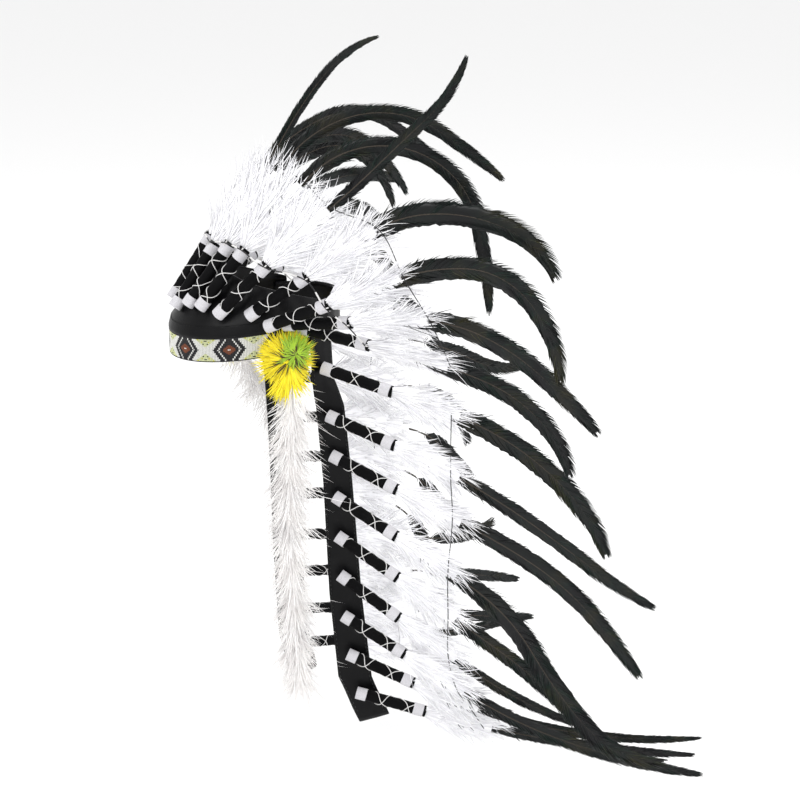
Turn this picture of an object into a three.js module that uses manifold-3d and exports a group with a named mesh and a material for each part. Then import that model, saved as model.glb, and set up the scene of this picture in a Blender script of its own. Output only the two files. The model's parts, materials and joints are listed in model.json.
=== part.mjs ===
// Feathered headdress with two trails, in the shape it has when worn.
// Millimetres, +Z up. The wearer faces -Y and the wearer's left is +X.
// The origin is the centre of the head opening, level with the middle of the browband's lower edge.

import * as THREE from "three";
import { mergeVertices } from "three/addons/utils/BufferGeometryUtils.js";
import Module from "manifold-3d";

const wasm = await Module();
wasm.setup();

// Sizes of the head opening and of the parts that go round it
const HEAD_DEPTH = 98;
const HEAD_WIDTH = 78;
const TILT = 0.11;
const GAP = 0.3;
const SEAT_CLEAR = 0.6;
const BAND_HEIGHT = 38;
const BAND_THICK = 2.5;
const BAND_END = 103;
const LEATHER = 2;
const CROWN_END = 128;
const MIDDLE_LEAN = 0.48;
const STRAP_START = 119;
const STRAP_HEIGHT = 34;
const LOWER_EDGE = 1;
const BAND_STEPS = 26;
const CROWN_STEPS = 32;
const STRAP_STEPS = 16;

// Sizes of a feather
const WRAP_LENGTH = 82;
const WRAP_RADIUS = 6.6;
const WRAP_RING = 7.2;
const RING_LENGTH = 12;
const WRAP_SIDES = 7;
const RING_STEP = 0.5;
const BLACK_END = 3;
const WHITE_START = 76;
const WHITE_THICK = 7;
const CROWN_FLUFF = 1;
const TRAIL_FLUFF = 0.88;
const FRONT_SHINGLE = 35;
const SIDE_SHINGLE = -20;
const TRAIL_SHINGLE = 20;
const TANGENT_DROP = 0.35;
const VANE_START = 70;
const VANE_THICK = 3;

// The white plume's three locks: how far each swings out, its length and its width
const WHITE_LOCKS = [
  { swing: -15, length: 96, width: 20 },
  { swing: 0, length: 118, width: 24 },
  { swing: 15, length: 102, width: 20 },
];

// How wide a white lock and the dark vane are along their length, as a share of the full width
const LOCK_SHAPE = [
  { part: 0, share: 0.35 },
  { part: 0.3, share: 1 },
  { part: 0.7, share: 0.95 },
  { part: 1, share: 0.1 },
];
const VANE_SHAPE = [
  { part: 0, share: 0.3 },
  { part: 0.22, share: 0.95 },
  { part: 0.5, share: 1 },
  { part: 0.8, share: 0.78 },
  { part: 1, share: 0.12 },
];

// Sizes of the trails, the rosettes and the drops
const TRAIL_THICK = 2.4;
const TRAIL_SEAT_FORWARD = 5;
const TRAIL_STEPS = 20;
const TRAIL_SLANT = 5;
const HANG_LEFT = { flare: 1, sweep: 1 };
const HANG_RIGHT = { flare: 0.2, sweep: 0.55 };
const ROSETTE_DEPTH = 17;
const ROSETTE_LOCKS = 12;
const ROSETTE_HEIGHT = -4;
const ROSETTE_PROFILE = [
  { radius: 0, depth: -0.5 },
  { radius: 15, depth: -0.5 },
  { radius: 20, depth: 0 },
  { radius: 13, depth: 0.44 },
  { radius: 0, depth: 0.5 },
];
const ROSETTE_LOCK = [
  { reach: 12, width: 12, thick: 9 },
  { reach: 20, width: 10, thick: 7 },
  { reach: 27, width: 2, thick: 2 },
];
const ROSETTE_SHORTER = 3;
const DROP_TOP = -31.3;
const DROP_LENGTH = 360;
const DROP_STEPS = 15;
const DROP_WIDE = 23;
const DROP_DEEP = 17;
const DROP_SWAYS = 5;
const TUFT_OUT = 1.08;
const TUFT_IN = 0.9;
const DROP_OUT = 89;
const DROP_BACK = 4;
const DROP_SWAY = 4;
const DRIFT_PART = 0.3;
const DRIFT_LEFT = { out: 0, back: 0 };
const DRIFT_RIGHT = { out: 40, back: 78 };

const MATERIALS = {
  woven: new THREE.MeshStandardMaterial({ color: "#e6e2d8", roughness: 0.85, metalness: 0 }),
  leather: new THREE.MeshStandardMaterial({ color: "#1a191c", roughness: 0.5, metalness: 0 }),
  plume: new THREE.MeshStandardMaterial({ color: "#f1eff0", roughness: 0.9, metalness: 0 }),
  coque: new THREE.MeshStandardMaterial({ color: "#22252a", roughness: 0.6, metalness: 0 }),
  rosette: new THREE.MeshStandardMaterial({ color: "#e6d21e", roughness: 0.9, metalness: 0 }),
};

// The crown's upper edge above the band's lower edge, and how far it leans in there,
// by the angle round the head from the front
const CROWN_EDGE = [
  { around: 0, height: 112, lean: 55 },
  { around: 28, height: 112, lean: 52 },
  { around: 44, height: 90, lean: 34 },
  { around: 80, height: 70, lean: 17 },
  { around: 128, height: 40, lean: 3 },
];

// Each feather's heading is 0 straight back and 90 to the side. Its five slopes are degrees above
// level: along the wrap, at a quarter, half and three quarters of the dark plume, and at its tip.
// Crown feathers beside the front one, with their place round the head and their height
// above the band's lower edge
const FRONT = { around: 0, height: 48, heading: 0, slopes: [53, 53, 57, 46, 12], plume: 288, width: 12 };
const CROWN_LEFT = [
  { around: 16, height: 54, heading: 16, slopes: [54, 56, 14, -34, -42], plume: 375, width: 18 },
  { around: 30, height: 53, heading: 24, slopes: [52, 44, -16, -76, -88], plume: 425, width: 20 },
  { around: 46, height: 47, heading: 38, slopes: [46, 40, 45, 44, 72], plume: 305, width: 14 },
  { around: 67, height: 44, heading: 39, slopes: [36, 37, 6, -20, -66], plume: 300, width: 27 },
  { around: 78, height: 35, heading: 50, slopes: [24, 25, 4, -50, -86], plume: 322, width: 25 },
  { around: 89, height: 33, heading: 52, slopes: [9, 8, -18, -37, -42], plume: 300, width: 24 },
  { around: 99, height: 25, heading: 48, slopes: [-7, -9, -17, -42, -75], plume: 264, width: 24 },
];
const CROWN_RIGHT = [
  { around: 26, height: 48, heading: 5, slopes: [53, 44, 18, -35, -40], plume: 360, width: 16 },
  { around: 38, height: 48, heading: 11, slopes: [50, 36, 12, -40, -60], plume: 320, width: 18 },
  { around: 50, height: 47, heading: 20, slopes: [40, 33, 8, -40, -70], plume: 320, width: 20 },
  { around: 63, height: 44, heading: 22, slopes: [26, 22, 14, -8, -20], plume: 270, width: 20 },
  { around: 78, height: 40, heading: 33, slopes: [14, 12, 2, -16, -34], plume: 280, width: 22 },
  { around: 91, height: 35.5, heading: 26, slopes: [4, 0, -14, -60, -110], plume: 290, width: 20 },
  { around: 101, height: 25, heading: 18, slopes: [-6, -10, -24, -40, -60], plume: 250, width: 18 },
];

// Trail feathers, from the top one down, with the same columns and the height above the origin
const TRAIL_LEFT = [
  { height: -22, heading: 43, slopes: [-14, -16, -31, -46, -70], plume: 295, width: 26 },
  { height: -76, heading: 45, slopes: [-18, -24, -30, -33, -22], plume: 324, width: 20 },
  { height: -122, heading: 42, slopes: [-23, -22, -30, -47, -54], plume: 334, width: 24 },
  { height: -170, heading: 44, slopes: [-28, -30, -58, -46, 10], plume: 390, width: 28 },
  { height: -217, heading: 41, slopes: [-31, -33, -32, -40, -48], plume: 262, width: 20 },
  { height: -264, heading: 38, slopes: [-34, -34, -30, -22, -14], plume: 236, width: 14 },
  { height: -314, heading: 41, slopes: [-28, -28, -16, -8, 0], plume: 355, width: 18 },
  { height: -362, heading: 34, slopes: [-22, -16, -8, 1, 9], plume: 330, width: 13 },
  { height: -412, heading: 29, slopes: [-15, -12, -8, -5, 0], plume: 310, width: 14 },
];
const TRAIL_RIGHT = [
  { height: -30, heading: 10, slopes: [-10, -8, -22, -30, 0], plume: 300, width: 20 },
  { height: -76, heading: 12, slopes: [-12, -16, -18, -44, -80], plume: 262, width: 20 },
  { height: -124, heading: 9, slopes: [-12, -18, -24, -50, -48], plume: 244, width: 20 },
  { height: -174, heading: 12, slopes: [-12, -22, -30, -56, -80], plume: 236, width: 20 },
  { height: -222, heading: 17, slopes: [-12, -22, -34, -60, -80], plume: 226, width: 20 },
  { height: -272, heading: 9, slopes: [-12, -16, -16, -8, 26], plume: 240, width: 18 },
  { height: -320, heading: 12, slopes: [-12, -16, -17, -18, -20], plume: 300, width: 16 },
  { height: -368, heading: 8, slopes: [-12, -18, -18, -16, -12], plume: 300, width: 16 },
  { height: -414, heading: 12, slopes: [-12, -14, -10, -6, 0], plume: 290, width: 14 },
];

// A trail's centre line from its top down: height, distance out and back, width,
// and the heading of its width (0 straight back, 90 to the side)
const TRAIL_ROUTE = [
  { height: 34, out: 68.8, back: 43.6, width: 30, turn: -22 },
  { height: -38, out: 70, back: 47, width: 30, turn: -18 },
  { height: -68, out: 72, back: 54, width: 31, turn: 12 },
  { height: -155, out: 72, back: 62, width: 32, turn: 20 },
  { height: -290, out: 72, back: 70, width: 36, turn: 24 },
  { height: -395, out: 72, back: 81, width: 38, turn: 24 },
  { height: -434, out: 72, back: 97, width: 36, turn: 24 },
  { height: -452, out: 72, back: 105, width: 34, turn: 24 },
];

const ROUTE_STEPS = 60;

const radians = THREE.MathUtils.degToRad;
const vector = (x, y, z) => new THREE.Vector3(x, y, z);

// Reads a table row at a value of its first column, with straight lines between the rows
function between(table, key, value) {
  const rising = table[1][key] > table[0][key];
  let index = 0;
  const passed = (limit) => (rising ? value > limit : value < limit);
  while (index < table.length - 2 && passed(table[index + 1][key])) index += 1;
  const low = table[index];
  const high = table[index + 1];
  const part = THREE.MathUtils.clamp((value - low[key]) / (high[key] - low[key]), 0, 1);
  const row = {};
  for (const name of Object.keys(low)) row[name] = THREE.MathUtils.lerp(low[name], high[name], part);
  return row;
}

// A point on the ring round the head: angle from the front, height above the band's lower edge,
// and how far inside the band's outer face it lies
function ringPoint(around, height, inset) {
  const x = (HEAD_WIDTH - inset) * Math.sin(radians(around));
  const y = -(HEAD_DEPTH - inset) * Math.cos(radians(around));
  return vector(x, y, height + TILT * -HEAD_DEPTH * Math.cos(radians(around)));
}

// The level direction that points out of the head at an angle round it
function ringOutward(around) {
  const turn = radians(around);
  return vector(Math.sin(turn) / HEAD_WIDTH, -Math.cos(turn) / HEAD_DEPTH, 0).normalize();
}

// Joins closed loops of equal length into one body with flat ends
function loft(loops) {
  const count = loops[0].length;
  const positions = loops.flat().flatMap((point) => [point.x, point.y, point.z]);
  const faces = [];
  for (let row = 0; row < loops.length - 1; row += 1) {
    for (let column = 0; column < count; column += 1) {
      const next = (column + 1) % count;
      const a = row * count + column;
      const b = row * count + next;
      faces.push(a, b, b + count, a, b + count, a + count);
    }
  }
  const last = (loops.length - 1) * count;
  for (let column = 1; column < count - 1; column += 1) {
    faces.push(0, column + 1, column);
    faces.push(last, last + column, last + column + 1);
  }
  const geometry = new THREE.BufferGeometry();
  geometry.setAttribute("position", new THREE.Float32BufferAttribute(positions, 3));
  geometry.setIndex(faces);
  return faceOut(geometry);
}

// Turns a closed body inside out if its faces point in
function faceOut(geometry) {
  const position = geometry.attributes.position;
  const index = geometry.index;
  const corner = [vector(), vector(), vector()];
  let volume = 0;
  for (let face = 0; face < index.count; face += 3) {
    corner.forEach((point, side) => point.fromBufferAttribute(position, index.getX(face + side)));
    volume += corner[0].dot(corner[1].clone().cross(corner[2]));
  }
  if (volume < 0) {
    for (let face = 0; face < index.count; face += 3) {
      const kept = index.getX(face);
      index.setX(face, index.getX(face + 2));
      index.setX(face + 2, kept);
    }
  }
  return geometry;
}

// Fuses closed bodies into one
function fuse(geometries) {
  const solids = geometries.map((geometry) => {
    const plain = mergeVertices(geometry);
    const vertProperties = new Float32Array(plain.attributes.position.array);
    const triVerts = new Uint32Array(plain.index.array);
    return new wasm.Manifold(new wasm.Mesh({ numProp: 3, vertProperties, triVerts }));
  });
  const mesh = solids.reduce((whole, solid) => whole.add(solid)).getMesh();
  const geometry = new THREE.BufferGeometry();
  geometry.setAttribute("position", new THREE.BufferAttribute(mesh.vertProperties, 3));
  geometry.setIndex(new THREE.BufferAttribute(mesh.triVerts, 1));
  return geometry;
}

// Mirrors a body to the wearer's other side
function mirrored(geometry) {
  return faceOut(geometry.clone().scale(-1, 1, 1));
}

// The direction in which a feather's wrap runs
function wrapDirection(row) {
  const slope = radians(row.slopes[0]);
  const heading = radians(row.heading);
  return vector(Math.sin(heading) * Math.cos(slope), Math.cos(heading) * Math.cos(slope), Math.sin(slope));
}

// Sets a wrap's inner end down on a face, so that its rim only just clears the face
function seatOn(point, normal, row) {
  const facing = wrapDirection(row).dot(normal);
  const lift = SEAT_CLEAR + WRAP_RING * Math.sqrt(1 - facing ** 2);
  return { seat: point.clone().addScaledVector(normal, lift), normal };
}

// How far the crown strip's outer face has leaned in at a height
function leanAt(around, height) {
  const edge = between(CROWN_EDGE, "around", Math.abs(around));
  const knee = Math.min(BAND_HEIGHT, edge.height - 4);
  const middle = (knee + edge.height) / 2;
  const profile = [
    { height: knee, lean: 0 },
    { height: middle, lean: edge.lean * MIDDLE_LEAN },
    { height: edge.height, lean: edge.lean },
  ];
  const slope = (edge.lean * MIDDLE_LEAN) / (middle - knee);
  return { knee, middle, edge, slope, lean: between(profile, "height", height).lean };
}

// The browband: a woven strip that stands round the forehead
function browband() {
  const loops = [];
  for (let step = 0; step <= BAND_STEPS; step += 1) {
    const around = THREE.MathUtils.lerp(-BAND_END, BAND_END, step / BAND_STEPS);
    loops.push([
      ringPoint(around, 0, 0),
      ringPoint(around, BAND_HEIGHT, 0),
      ringPoint(around, BAND_HEIGHT, BAND_THICK),
      ringPoint(around, 0, BAND_THICK),
    ]);
  }
  return loft(loops);
}

// The crown strip: upright behind the band, then leaning in with the head's dome to a loose edge
function crownStrip() {
  const loops = [];
  for (let step = 0; step <= CROWN_STEPS; step += 1) {
    const around = THREE.MathUtils.lerp(-CROWN_END, CROWN_END, step / CROWN_STEPS);
    const outer = BAND_THICK + GAP;
    const { knee, middle, edge } = leanAt(around, 0);
    const wall = (inset) => [
      ringPoint(around, LOWER_EDGE, inset),
      ringPoint(around, knee, inset),
      ringPoint(around, middle, inset + edge.lean * MIDDLE_LEAN),
      ringPoint(around, edge.height, inset + edge.lean),
    ];
    loops.push([...wall(outer), ...wall(outer + LEATHER).reverse()]);
  }
  return loft(loops);
}

// The plain strap that closes the crown at the back of the head, inside the crown strip's ends
function backStrap() {
  const inset = BAND_THICK + LEATHER + 2 * GAP;
  const loops = [];
  for (let step = 0; step <= STRAP_STEPS; step += 1) {
    const around = THREE.MathUtils.lerp(STRAP_START, 360 - STRAP_START, step / STRAP_STEPS);
    loops.push([
      ringPoint(around, LOWER_EDGE, inset),
      ringPoint(around, STRAP_HEIGHT, inset),
      ringPoint(around, STRAP_HEIGHT, inset + LEATHER),
      ringPoint(around, LOWER_EDGE, inset + LEATHER),
    ]);
  }
  return loft(loops);
}

// A trail's centre, the direction of its width and its outward face at a height.
// The left trail's lower part flares and sweeps back as in the photo, the right one's less.
function trailFrame(height, hang) {
  const row = between(TRAIL_ROUTE, "height", height);
  const turn = radians(row.turn > 0 ? row.turn * hang.flare : row.turn);
  const back = THREE.MathUtils.lerp(TRAIL_ROUTE[0].back, row.back, hang.sweep);
  const along = vector(Math.sin(turn), Math.cos(turn), 0);
  const outward = vector(along.y, -along.x, 0);
  return { centre: vector(row.out, back, height), along, outward, width: row.width };
}

// A trail: a leather strip with its lower end cut on a slant
function trail(hang) {
  const loops = [];
  const top = TRAIL_ROUTE[0].height;
  const bottom = TRAIL_ROUTE[TRAIL_ROUTE.length - 1].height;
  for (let step = 0; step <= TRAIL_STEPS; step += 1) {
    const height = THREE.MathUtils.lerp(top, bottom, step / TRAIL_STEPS);
    const { centre, along, outward, width } = trailFrame(height, hang);
    const slant = step === TRAIL_STEPS ? TRAIL_SLANT : 0;
    const corner = (side, face) => centre.clone().addScaledVector(along, (side * width) / 2)
      .addScaledVector(outward, (face * TRAIL_THICK) / 2).add(vector(0, 0, side * slant));
    loops.push([corner(-1, 1), corner(1, 1), corner(1, -1), corner(-1, -1)]);
  }
  return loft(loops);
}

// Where a feather runs: straight along its wrap, then drooping in its own upright plane
function featherRoute(seat, row) {
  const heading = vector(Math.sin(radians(row.heading)), Math.cos(radians(row.heading)), 0);
  const total = WRAP_LENGTH + row.plume;
  const bend = row.slopes.map((slope, index) => ({ part: index / (row.slopes.length - 1), slope }));
  const points = [seat.clone()];
  const slopes = [];
  for (let step = 0; step < ROUTE_STEPS; step += 1) {
    const reach = Math.max(0, ((step + 0.5) / ROUTE_STEPS) * total - WRAP_LENGTH) / row.plume;
    const slope = radians(between(bend, "part", reach).slope);
    slopes.push(slope);
    const direction = heading.clone().multiplyScalar(Math.cos(slope)).add(vector(0, 0, Math.sin(slope)));
    points.push(points[step].clone().addScaledVector(direction, total / ROUTE_STEPS));
  }
  return (distance) => {
    const place = THREE.MathUtils.clamp((distance / total) * ROUTE_STEPS, 0, ROUTE_STEPS - 0.001);
    const index = Math.floor(place);
    const slope = slopes[index];
    return {
      point: points[index].clone().lerp(points[index + 1], place - index),
      direction: heading.clone().multiplyScalar(Math.cos(slope)).add(vector(0, 0, Math.sin(slope))),
      upward: heading.clone().multiplyScalar(-Math.sin(slope)).add(vector(0, 0, Math.cos(slope))),
    };
  };
}

// The round wrap over the quill, with a raised ring of woven trim at each end
function wrap(route, normal) {
  const rings = [
    { at: 0, radius: WRAP_RING },
    { at: RING_LENGTH, radius: WRAP_RING },
    { at: RING_LENGTH + RING_STEP, radius: WRAP_RADIUS },
    { at: WRAP_LENGTH - BLACK_END - RING_LENGTH - RING_STEP, radius: WRAP_RADIUS },
    { at: WRAP_LENGTH - BLACK_END - RING_LENGTH, radius: WRAP_RING },
    { at: WRAP_LENGTH, radius: WRAP_RING },
  ];
  return loft(rings.map(({ at, radius }) => {
    const { point, direction } = route(at);
    const inward = direction.clone().multiplyScalar(direction.dot(normal)).sub(normal).normalize();
    const sideways = direction.clone().cross(inward);
    const loop = [];
    for (let side = 0; side < WRAP_SIDES; side += 1) {
      const turn = (side / WRAP_SIDES) * 2 * Math.PI;
      loop.push(point.clone().addScaledVector(inward, radius * Math.cos(turn))
        .addScaledVector(sideways, radius * Math.sin(turn)));
    }
    return loop;
  }));
}

// A flat tapered lock with a diamond section: each section is a point with its width and thickness
function lock(sections, across, through) {
  return loft(sections.map(({ point, width, thick }) => [
    point.clone().addScaledVector(across, width / 2),
    point.clone().addScaledVector(through, thick / 2),
    point.clone().addScaledVector(across, -width / 2),
    point.clone().addScaledVector(through, -thick / 2),
  ]));
}

// The white plume: three locks that spread from the wrap's outer end
function whiteLocks(route, row, across) {
  const facing = route(WHITE_START).direction.cross(across).normalize();
  return WHITE_LOCKS.map(({ swing, length, width }) => {
    const sections = LOCK_SHAPE.map(({ part, share }) => {
      const reach = length * row.fluff * part;
      const { point, direction } = route(WHITE_START + reach);
      const side = across.clone().addScaledVector(direction, -across.dot(direction)).normalize();
      point.addScaledVector(side, reach * Math.tan(radians(swing)));
      return { point, width: width * share, thick: WHITE_THICK * share };
    });
    return lock(sections, across, facing);
  });
}

// The dark plume: one long thin vane, broad in the plane that it droops in
function darkVane(route, row) {
  const start = WRAP_LENGTH + VANE_START;
  const length = row.plume - VANE_START;
  return loft(VANE_SHAPE.map(({ part, share }) => {
    const { point, direction, upward } = route(start + length * part);
    const sideways = direction.clone().cross(upward);
    const half = (row.width * share) / 2;
    const thick = (VANE_THICK * Math.max(share, 0.4)) / 2;
    return [
      point.clone().addScaledVector(upward, half),
      point.clone().addScaledVector(sideways, thick),
      point.clone().addScaledVector(upward, -half),
      point.clone().addScaledVector(sideways, -thick),
    ];
  }));
}

// One whole feather: wrap, white plume and dark plume fused into one body
function feather({ seat, normal }, row, across) {
  const route = featherRoute(seat, row);
  return fuse([wrap(route, normal), ...whiteLocks(route, row, across), darkVane(route, row)]);
}

// The seat of a crown feather: on the browband where it sits low, else on the leaning crown strip
function crownSeat(row) {
  const outward = ringOutward(row.around);
  const lowest = row.height - WRAP_RING * Math.cos(radians(row.slopes[0]));
  if (lowest < BAND_HEIGHT) {
    return seatOn(ringPoint(row.around, row.height, 0), outward, row);
  }
  const { lean, slope } = leanAt(row.around, row.height);
  const normal = outward.add(vector(0, 0, slope)).normalize();
  return seatOn(ringPoint(row.around, row.height, BAND_THICK + GAP + lean), normal, row);
}

// A crown feather's white plume is turned a little out of the ring, like a roof tile
function crownFeather(row) {
  const outward = ringOutward(row.around);
  const tangent = vector(-outward.y, outward.x, -TANGENT_DROP * Math.sin(radians(row.around)));
  const direction = wrapDirection(row);
  const across = tangent.addScaledVector(direction, -tangent.dot(direction)).normalize();
  const shingle = THREE.MathUtils.lerp(FRONT_SHINGLE, SIDE_SHINGLE, row.around / 90);
  across.applyAxisAngle(direction, radians(shingle));
  return feather(crownSeat(row), { ...row, fluff: CROWN_FLUFF }, across);
}

// A trail feather's inner end lies on the trail's outer face
function trailFeather(row, hang) {
  const { centre, along, outward } = trailFrame(row.height, hang);
  const face = centre.addScaledVector(along, -TRAIL_SEAT_FORWARD).addScaledVector(outward, TRAIL_THICK / 2);
  const placed = seatOn(face, outward, row);
  const { direction, upward } = featherRoute(placed.seat, row)(0);
  const across = upward.clone().applyAxisAngle(direction, radians(TRAIL_SHINGLE));
  return feather(placed, { ...row, fluff: TRAIL_FLUFF }, across);
}

// A rosette: a thick disc with pointed locks round it, against the band's outer face
function rosette() {
  const centre = vector(HEAD_WIDTH + GAP + ROSETTE_DEPTH / 2, 0, ROSETTE_HEIGHT);
  const profile = ROSETTE_PROFILE.map((row) => new THREE.Vector2(row.radius, row.depth * ROSETTE_DEPTH));
  const disc = new THREE.LatheGeometry(profile, ROSETTE_LOCKS);
  disc.deleteAttribute("normal");
  disc.deleteAttribute("uv");
  disc.rotateZ(-Math.PI / 2).translate(centre.x, centre.y, centre.z);
  const out = vector(1, 0, 0);
  const locks = [];
  for (let index = 0; index < ROSETTE_LOCKS; index += 1) {
    const turn = (index / ROSETTE_LOCKS) * 2 * Math.PI - Math.PI / 2;
    const away = vector(0, Math.cos(turn), Math.sin(turn));
    const shorter = (index % 2) * ROSETTE_SHORTER;
    const sections = ROSETTE_LOCK.map(({ reach, width, thick }) => (
      { point: centre.clone().addScaledVector(away, reach - shorter), width, thick }
    ));
    locks.push(lock(sections, away.clone().cross(out), out));
  }
  return fuse([faceOut(mergeVertices(disc)), ...locks]);
}

// A drop: a long soft body that hangs under the rosette, with tufts that stand out in rows
function drop(drift) {
  const loops = [];
  for (let step = 0; step <= DROP_STEPS; step += 1) {
    const part = step / DROP_STEPS;
    const swell = Math.min(1, 0.25 + part * 5, 0.2 + (1 - part) * 6);
    const size = swell * (step % 2 === 0 ? TUFT_OUT : TUFT_IN);
    const drifted = Math.min(1, part / DRIFT_PART);
    const out = DROP_OUT + drift.out * drifted;
    const back = DROP_BACK + drift.back * drifted + DROP_SWAY * Math.sin(part * DROP_SWAYS);
    const loop = [];
    for (let side = 0; side < WRAP_SIDES; side += 1) {
      const turn = (side / WRAP_SIDES) * 2 * Math.PI;
      const x = out + DROP_DEEP * size * Math.cos(turn);
      const y = back + DROP_WIDE * size * Math.sin(turn);
      loop.push(vector(x, y, DROP_TOP - DROP_LENGTH * part));
    }
    loops.push(loop);
  }
  return loft(loops);
}

const headdress = new THREE.Group();

function addPiece(name, geometry, material) {
  const mesh = new THREE.Mesh(geometry, material);
  mesh.name = name;
  headdress.add(mesh);
}

addPiece("browband", browband(), MATERIALS.woven);
addPiece("crown_strip", crownStrip(), MATERIALS.leather);
addPiece("back_strap", backStrap(), MATERIALS.leather);
addPiece("feather_front", crownFeather(FRONT), MATERIALS.coque);
CROWN_LEFT.forEach((row, index) => {
  addPiece(`feather_crown_left_${index + 1}`, crownFeather(row), MATERIALS.coque);
});
CROWN_RIGHT.forEach((row, index) => {
  addPiece(`feather_crown_right_${index + 1}`, mirrored(crownFeather(row)), MATERIALS.coque);
});
TRAIL_LEFT.forEach((row, index) => {
  addPiece(`feather_trail_left_${index + 1}`, trailFeather(row, HANG_LEFT), MATERIALS.coque);
});
TRAIL_RIGHT.forEach((row, index) => {
  addPiece(`feather_trail_right_${index + 1}`, mirrored(trailFeather(row, HANG_RIGHT)), MATERIALS.coque);
});
addPiece("trail_left", trail(HANG_LEFT), MATERIALS.leather);
addPiece("trail_right", mirrored(trail(HANG_RIGHT)), MATERIALS.leather);
addPiece("rosette_left", rosette(), MATERIALS.rosette);
addPiece("rosette_right", mirrored(rosette()), MATERIALS.rosette);
addPiece("drop_left", drop(DRIFT_LEFT), MATERIALS.plume);
addPiece("drop_right", mirrored(drop(DRIFT_RIGHT)), MATERIALS.plume);

export default headdress;
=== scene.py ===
# Looks of the feathered headdress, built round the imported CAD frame.
# Lengths are in millimetres until a mesh is made, which turns them into metres.

import json
import math

import bpy
import numpy as np
from mathutils import Matrix, Vector

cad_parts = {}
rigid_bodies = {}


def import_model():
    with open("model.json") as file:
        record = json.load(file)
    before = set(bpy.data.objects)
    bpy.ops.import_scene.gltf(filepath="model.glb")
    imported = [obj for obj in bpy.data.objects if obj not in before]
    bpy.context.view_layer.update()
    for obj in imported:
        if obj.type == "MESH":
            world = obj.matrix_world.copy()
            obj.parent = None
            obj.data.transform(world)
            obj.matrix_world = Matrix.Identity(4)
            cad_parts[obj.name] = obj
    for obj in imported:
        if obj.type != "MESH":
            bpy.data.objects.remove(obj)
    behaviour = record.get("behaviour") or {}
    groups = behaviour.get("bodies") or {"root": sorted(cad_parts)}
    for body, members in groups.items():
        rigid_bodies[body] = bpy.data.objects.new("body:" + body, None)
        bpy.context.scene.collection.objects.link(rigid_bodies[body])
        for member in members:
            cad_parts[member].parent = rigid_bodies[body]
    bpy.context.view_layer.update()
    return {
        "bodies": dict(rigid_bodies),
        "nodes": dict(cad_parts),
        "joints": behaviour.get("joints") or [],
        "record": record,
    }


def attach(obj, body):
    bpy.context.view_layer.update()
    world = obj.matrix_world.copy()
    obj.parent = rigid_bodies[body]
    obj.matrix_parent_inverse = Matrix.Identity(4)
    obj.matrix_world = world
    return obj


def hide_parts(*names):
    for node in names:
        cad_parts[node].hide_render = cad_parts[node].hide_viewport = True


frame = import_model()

RANDOM = np.random.default_rng(20)

# Sizes shared with the CAD source
HEAD_DEPTH = 98
HEAD_WIDTH = 78
TILT = 0.11
GAP = 0.3
SEAT_CLEAR = 0.6
BAND_HEIGHT = 38
BAND_THICK = 2.5
BAND_END = 103
LEATHER = 2
CROWN_END = 128
MIDDLE_LEAN = 0.48
STRAP_START = 119
STRAP_HEIGHT = 34
LOWER_EDGE = 1
WRAP_LENGTH = 82
WRAP_RADIUS = 6.6
WRAP_RING = 7.2
RING_LENGTH = 12
BLACK_END = 3
WHITE_START = 76
CROWN_FLUFF = 1
TRAIL_FLUFF = 0.88
FRONT_SHINGLE = 35
SIDE_SHINGLE = -20
TRAIL_SHINGLE = 20
TANGENT_DROP = 0.35
TRAIL_THICK = 2.4
TRAIL_SEAT_FORWARD = 5
TRAIL_SLANT = 5
HANG_LEFT = {"flare": 1, "sweep": 1}
HANG_RIGHT = {"flare": 0.2, "sweep": 0.55}
ROSETTE_DEPTH = 17
ROSETTE_HEIGHT = -4
DROP_TOP = -31.3
DROP_LENGTH = 360
DROP_SWAYS = 3.8
DROP_OUT = 89
DROP_BACK = 4
DROP_SWAY = -6
DRIFT_PART = 0.3
DRIFT_LEFT = {"out": 0, "back": 0}
DRIFT_RIGHT = {"out": 40, "back": 78}

# The crown's upper edge: angle round the head, height above the band's lower edge, lean inwards
CROWN_EDGE = {
    "around": (0, 28, 44, 80, 128),
    "height": (112, 112, 90, 70, 40),
    "lean": (55, 52, 34, 17, 3),
}

# A trail's centre line from its top down
TRAIL_ROUTE = {
    "height": (34, -38, -68, -155, -290, -395, -434, -452),
    "out": (68.8, 70, 72, 72, 72, 72, 72, 72),
    "back": (43.6, 47, 54, 62, 70, 81, 97, 105),
    "width": (30, 30, 31, 32, 36, 38, 36, 34),
    "turn": (-22, -18, 12, 20, 24, 24, 24, 24),
}

# Feathers: place (round the head and up, or up alone on a trail), heading, five slopes,
# length of the dark plume past the wrap, width of its vane
CROWN_COLUMNS = ("around", "height", "heading", "slopes", "plume", "width")
FRONT = (0, 48, 0, (53, 53, 57, 46, 12), 288, 12)
CROWN_LEFT = (
    (16, 54, 16, (54, 56, 14, -34, -42), 375, 18),
    (30, 53, 24, (52, 44, -16, -76, -88), 425, 20),
    (46, 47, 38, (46, 40, 45, 44, 72), 305, 14),
    (67, 44, 39, (36, 37, 6, -20, -66), 300, 27),
    (78, 35, 50, (24, 25, 4, -50, -86), 322, 25),
    (89, 33, 52, (9, 8, -18, -37, -42), 300, 24),
    (99, 25, 48, (-7, -9, -17, -42, -75), 264, 24),
)
CROWN_RIGHT = (
    (26, 48, 5, (53, 44, 18, -35, -40), 360, 16),
    (38, 48, 11, (50, 36, 12, -40, -60), 320, 18),
    (50, 47, 20, (40, 33, 8, -40, -70), 320, 20),
    (63, 44, 22, (26, 22, 14, -8, -20), 270, 20),
    (78, 40, 33, (14, 12, 2, -16, -34), 280, 22),
    (91, 35.5, 26, (4, 0, -14, -60, -110), 290, 20),
    (101, 25, 18, (-6, -10, -24, -40, -60), 250, 18),
)
TRAIL_COLUMNS = ("height", "heading", "slopes", "plume", "width")
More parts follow.
